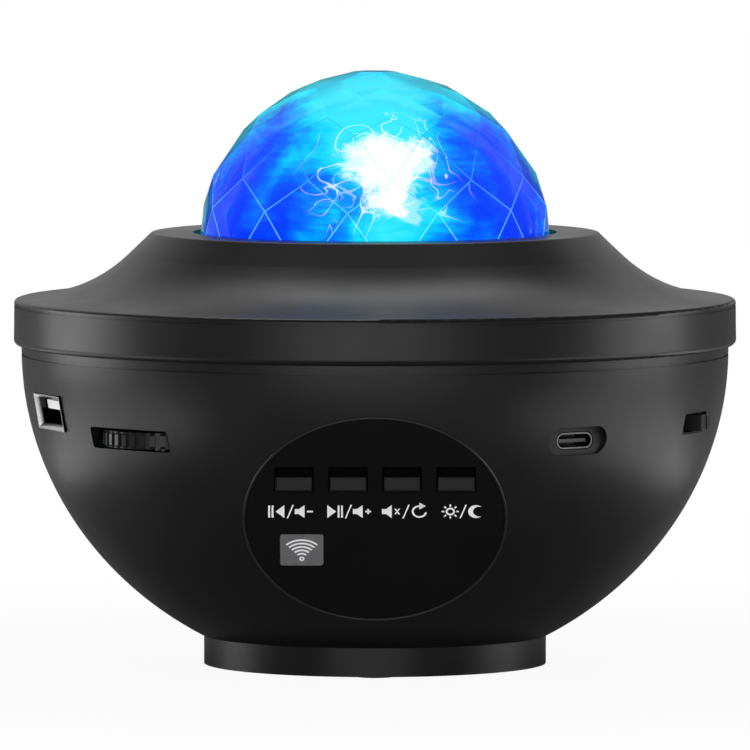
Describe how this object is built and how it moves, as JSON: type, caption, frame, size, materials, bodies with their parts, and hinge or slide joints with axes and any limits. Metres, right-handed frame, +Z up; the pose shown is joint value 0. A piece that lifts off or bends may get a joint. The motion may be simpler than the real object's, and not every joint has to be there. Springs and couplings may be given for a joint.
{
  "type": "star night light projector",
  "caption": "Bowl-shaped star projector night light with a flared top cover, a faceted clear dome over a turning ripple dome, a sloping key panel, thumbwheel and charging sockets.",
  "frame": {"origin": "on the vertical axis of the bowl, at the plane it stands on", "axes": "+Z up along the bowl's axis, -Y out of the key panel (the front), +X to the right seen from the front"},
  "size_m": [0.15, 0.15, 0.1236],
  "materials": {
    "shell_black": "satin moulded plastic",
    "panel_black": "fine satin plastic",
    "key_graphite": "satin plastic",
    "window_grey": "smoky plastic",
    "dome_clear": "clear moulded plastic, cut in facets",
    "ripple_clear": "clear rippled plastic",
    "rubber_black": "matte",
    "screw_steel": "plated",
    "port_metal": "stamped, nickel plated",
    "tongue_white": "moulded",
    "tongue_black": "moulded",
    "contact_gold": "gold plated",
    "board_green": "solder mask",
    "board_white": "white solder mask on aluminium",
    "chip_black": "moulded",
    "can_aluminium": "sleeved can",
    "sink_aluminium": "plain casting",
    "emitter_yellow": "phosphor",
    "lens_clear": "clear",
    "laser_brass": "turned",
    "motor_steel": "pressed can",
    "gear_white": "acetal",
    "chassis_grey": "moulded",
    "switch_grey": "moulded",
    "basket_steel": "pressed",
    "magnet_ferrite": "ferrite and steel",
    "cone_paper": "pressed paper",
    "foam_black": "foam"
  },
  "bodies": {
    "housing": {"bowl_housing": "shell_black", "top_cover": "shell_black", "base_cover": "shell_black", "rubber_feet": "rubber_black", "base_screws": "screw_steel", "control_panel_plate": "panel_black", "receiver_window": "window_grey", "dome_lens": "dome_clear", "dome_retainer_ring": "chassis_grey", "retainer_screws": "screw_steel", "chassis_frame": "chassis_grey", "chassis_screws": "screw_steel", "heat_sink": "sink_aluminium", "heat_sink_screws": "screw_steel", "led_board": "board_white", "led_emitters": "emitter_yellow", "led_collimators": "lens_clear", "collimator_holder": "chip_black", "laser_module": "laser_brass", "star_grating": "lens_clear", "drive_motor": "motor_steel", "motor_screws": "screw_steel", "main_board": "board_green", "main_board_screws": "screw_steel", "board_chips": "chip_black", "board_capacitors": "can_aluminium", "usb_board": "board_green", "usb_a_shell": "port_metal", "usb_a_tongue": "tongue_white", "usb_a_contacts": "contact_gold", "usb_c_shell": "port_metal", "usb_c_tongue": "tongue_black", "pot_body": "switch_grey", "slide_switch_body": "switch_grey", "key_board": "board_green", "key_board_screws": "screw_steel", "tact_switches": "chip_black", "ir_receiver": "chip_black", "speaker_basket": "basket_steel", "speaker_magnet": "magnet_ferrite", "speaker_cone": "cone_paper", "speaker_gasket": "foam_black", "speaker_screws": "screw_steel"},
    "ripple_unit": {"ripple_dome": "ripple_clear", "ripple_gear": "gear_white"},
    "drive_unit": {"drive_pinion": "gear_white", "motor_shaft": "screw_steel"},
    "volume_knob": {"volume_wheel": "key_graphite", "pot_shaft": "screw_steel"},
    "power_slider": {"slide_switch_knob": "key_graphite"},
    "previous_button": {"previous_key": "key_graphite", "previous_plunger": "switch_grey"},
    "play_button": {"play_key": "key_graphite", "play_plunger": "switch_grey"},
    "mute_button": {"mute_key": "key_graphite", "mute_plunger": "switch_grey"},
    "mode_button": {"mode_key": "key_graphite", "mode_plunger": "switch_grey"}
  },
  "joints": [
    {"name": "ripple_spin", "type": "hinge", "parent": "housing", "child": "ripple_unit", "pos_m": [0, 0, 0.082], "axis": [0, 0, 1], "continuous": true},
    {"name": "pinion_spin", "type": "hinge", "parent": "housing", "child": "drive_unit", "pos_m": [0, 0.0378, 0.082], "axis": [0, 0, 1], "continuous": true},
    {"name": "volume_turn", "type": "hinge", "parent": "housing", "child": "volume_knob", "pos_m": [-0.04314, -0.04314, 0.0504], "axis": [0, 0, 1], "range_deg": [-140, 140]},
    {"name": "previous_press", "type": "slide", "parent": "housing", "child": "previous_button", "axis": [0, 1, 0], "range_m": [0, 0.0005], "stiffness_N_per_m": 400},
    {"name": "play_press", "type": "slide", "parent": "housing", "child": "play_button", "axis": [0, 1, 0], "range_m": [0, 0.0005], "stiffness_N_per_m": 400},
    {"name": "mute_press", "type": "slide", "parent": "housing", "child": "mute_button", "axis": [0, 1, 0], "range_m": [0, 0.0005], "stiffness_N_per_m": 400},
    {"name": "mode_press", "type": "slide", "parent": "housing", "child": "mode_button", "axis": [0, 1, 0], "range_m": [0, 0.0005], "stiffness_N_per_m": 400},
    {"name": "power_slide", "type": "slide", "parent": "housing", "child": "power_slider", "axis": [0.4035, 0.915, 0], "range_m": [-0.004, 0]}
  ],
  "couplings": [
    {"joint": "pinion_spin", "follows": "ripple_spin", "ratio": -5}
  ]
}
